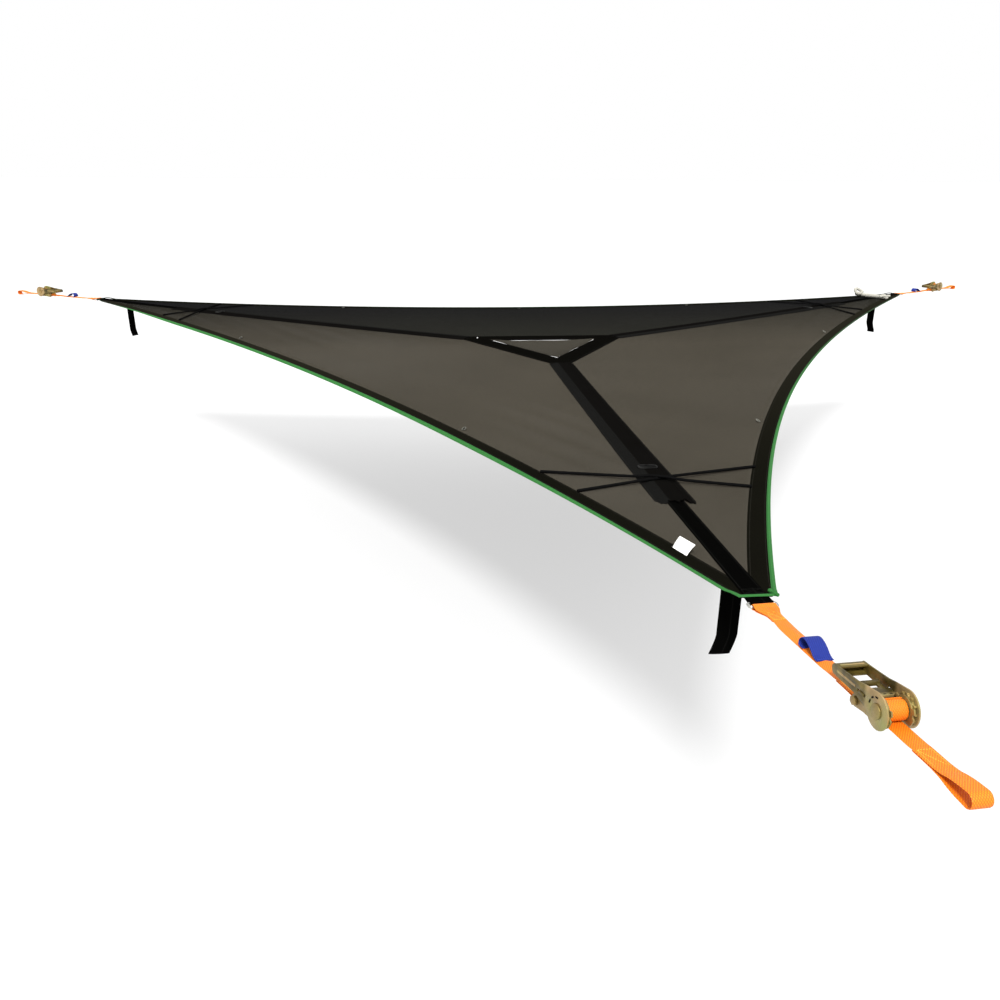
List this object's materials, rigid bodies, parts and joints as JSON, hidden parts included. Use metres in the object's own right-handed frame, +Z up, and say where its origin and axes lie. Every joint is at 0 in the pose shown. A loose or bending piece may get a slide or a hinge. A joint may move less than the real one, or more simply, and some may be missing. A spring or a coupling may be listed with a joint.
{
  "type": "triangle hammock",
  "caption": "Triangle hammock: mesh panels with a green edge, a centre hatch with a flap, and a ratchet strap at each corner.",
  "frame": {"origin": "middle of the triangle, in the plane of its three corner ends", "axes": "+Z up; -Y towards the near corner, +X to the right; the right corner lies at 30 degrees and the left one at 150"},
  "size_m": [4.9524, 4.2875, 0.2228],
  "materials": {
    "mesh_fabric": "open dark grey-brown mesh",
    "hem_fabric": "dense black weave",
    "binding_green": "green binding tape",
    "webbing_black": "flat black webbing",
    "webbing_orange": "flat orange webbing, tab blue",
    "zinc_steel": "yellow zinc plate",
    "bright_steel": "bright zinc",
    "white_cloth": "plain white",
    "elastic_black": "braided cover"
  },
  "bodies": {
    "hammock": {"mesh_panel_right": "mesh_fabric", "mesh_panel_far": "mesh_fabric", "mesh_panel_left": "mesh_fabric", "hem_right": "hem_fabric", "hem_far": "hem_fabric", "hem_left": "hem_fabric", "edge_binding": "binding_green", "hatch_band": "webbing_black", "body_strap_near": "webbing_black", "strap_sleeve_near": "webbing_black", "slider_buckle_near": "bright_steel", "gear_cords_near": "elastic_black", "hanging_strap_near": "webbing_black", "corner_loop_near": "webbing_black", "corner_ring_near": "bright_steel", "fixed_strap_near": "webbing_orange", "ratchet_frame_near": "zinc_steel", "anchor_bolt_near": "bright_steel", "tree_strap_near": "webbing_orange", "body_strap_right": "webbing_black", "strap_sleeve_right": "webbing_black", "slider_buckle_right": "bright_steel", "gear_cords_right": "elastic_black", "hanging_strap_right": "webbing_black", "corner_loop_right": "webbing_black", "corner_ring_right": "bright_steel", "fixed_strap_right": "webbing_orange", "ratchet_frame_right": "zinc_steel", "anchor_bolt_right": "bright_steel", "tree_strap_right": "webbing_orange", "body_strap_left": "webbing_black", "strap_sleeve_left": "webbing_black", "slider_buckle_left": "bright_steel", "gear_cords_left": "elastic_black", "hanging_strap_left": "webbing_black", "corner_loop_left": "webbing_black", "corner_ring_left": "bright_steel", "fixed_strap_left": "webbing_orange", "ratchet_frame_left": "zinc_steel", "anchor_bolt_left": "bright_steel", "tree_strap_left": "webbing_orange", "care_label": "white_cloth", "corner_tie": "white_cloth"},
    "handle_near": {"ratchet_handle_near": "zinc_steel"},
    "spool_near": {"ratchet_spool_near": "zinc_steel", "wound_webbing_near": "webbing_orange"},
    "drive_pawl_near": {"drive_pawl_near": "zinc_steel"},
    "lock_pawl_near": {"lock_pawl_near": "zinc_steel"},
    "handle_right": {"ratchet_handle_right": "zinc_steel"},
    "spool_right": {"ratchet_spool_right": "zinc_steel", "wound_webbing_right": "webbing_orange"},
    "drive_pawl_right": {"drive_pawl_right": "zinc_steel"},
    "lock_pawl_right": {"lock_pawl_right": "zinc_steel"},
    "handle_left": {"ratchet_handle_left": "zinc_steel"},
    "spool_left": {"ratchet_spool_left": "zinc_steel", "wound_webbing_left": "webbing_orange"},
    "drive_pawl_left": {"drive_pawl_left": "zinc_steel"},
    "lock_pawl_left": {"lock_pawl_left": "zinc_steel"},
    "hatch_flap": {"hatch_flap": "mesh_fabric"}
  },
  "joints": [
    {"name": "handle_hinge_near", "type": "hinge", "parent": "hammock", "child": "handle_near", "pos_m": [0.02286, -2.67957, 0.03802], "axis": [0.9979, 0.0645, 0], "range_deg": [0, 165]},
    {"name": "spool_turn_near", "type": "hinge", "parent": "hammock", "child": "spool_near", "pos_m": [0.02286, -2.67957, 0.03802], "axis": [0.9979, 0.0645, 0], "continuous": true},
    {"name": "drive_pawl_slide_near", "type": "slide", "parent": "handle_near", "child": "drive_pawl_near", "axis": [-0.0644, 0.9959, -0.0628], "range_m": [-0.0034, 0.0045], "stiffness_N_per_m": 400},
    {"name": "lock_pawl_slide_near", "type": "slide", "parent": "hammock", "child": "lock_pawl_near", "axis": [-0.0644, 0.9959, -0.0628], "range_m": [0, 0.0045], "stiffness_N_per_m": 400},
    {"name": "handle_hinge_right", "type": "hinge", "parent": "hammock", "child": "handle_right", "pos_m": [2.32268, 1.341, 0.0157], "axis": [-0.5, 0.866, 0], "range_deg": [0, 165]},
    {"name": "spool_turn_right", "type": "hinge", "parent": "hammock", "child": "spool_right", "pos_m": [2.32268, 1.341, 0.0157], "axis": [-0.5, 0.866, 0], "continuous": true},
    {"name": "drive_pawl_slide_right", "type": "slide", "parent": "handle_right", "child": "drive_pawl_right", "axis": [-0.866, -0.5, 0], "range_m": [-0.0034, 0.0045], "stiffness_N_per_m": 400},
    {"name": "lock_pawl_slide_right", "type": "slide", "parent": "hammock", "child": "lock_pawl_right", "axis": [-0.866, -0.5, 0], "range_m": [0, 0.0045], "stiffness_N_per_m": 400},
    {"name": "handle_hinge_left", "type": "hinge", "parent": "hammock", "child": "handle_left", "pos_m": [-2.32268, 1.341, 0.0157], "axis": [-0.5, -0.866, 0], "range_deg": [0, 165]},
    {"name": "spool_turn_left", "type": "hinge", "parent": "hammock", "child": "spool_left", "pos_m": [-2.32268, 1.341, 0.0157], "axis": [-0.5, -0.866, 0], "continuous": true},
    {"name": "drive_pawl_slide_left", "type": "slide", "parent": "handle_left", "child": "drive_pawl_left", "axis": [0.866, -0.5, 0], "range_m": [-0.0034, 0.0045], "stiffness_N_per_m": 400},
    {"name": "lock_pawl_slide_left", "type": "slide", "parent": "hammock", "child": "lock_pawl_left", "axis": [0.866, -0.5, 0], "range_m": [0, 0.0045], "stiffness_N_per_m": 400},
    {"name": "flap_hinge", "type": "hinge", "parent": "hammock", "child": "hatch_flap", "pos_m": [-0.10565, -0.061, -0.0259], "axis": [0.5, -0.866, 0], "range_deg": [0, 155]}
  ]
}
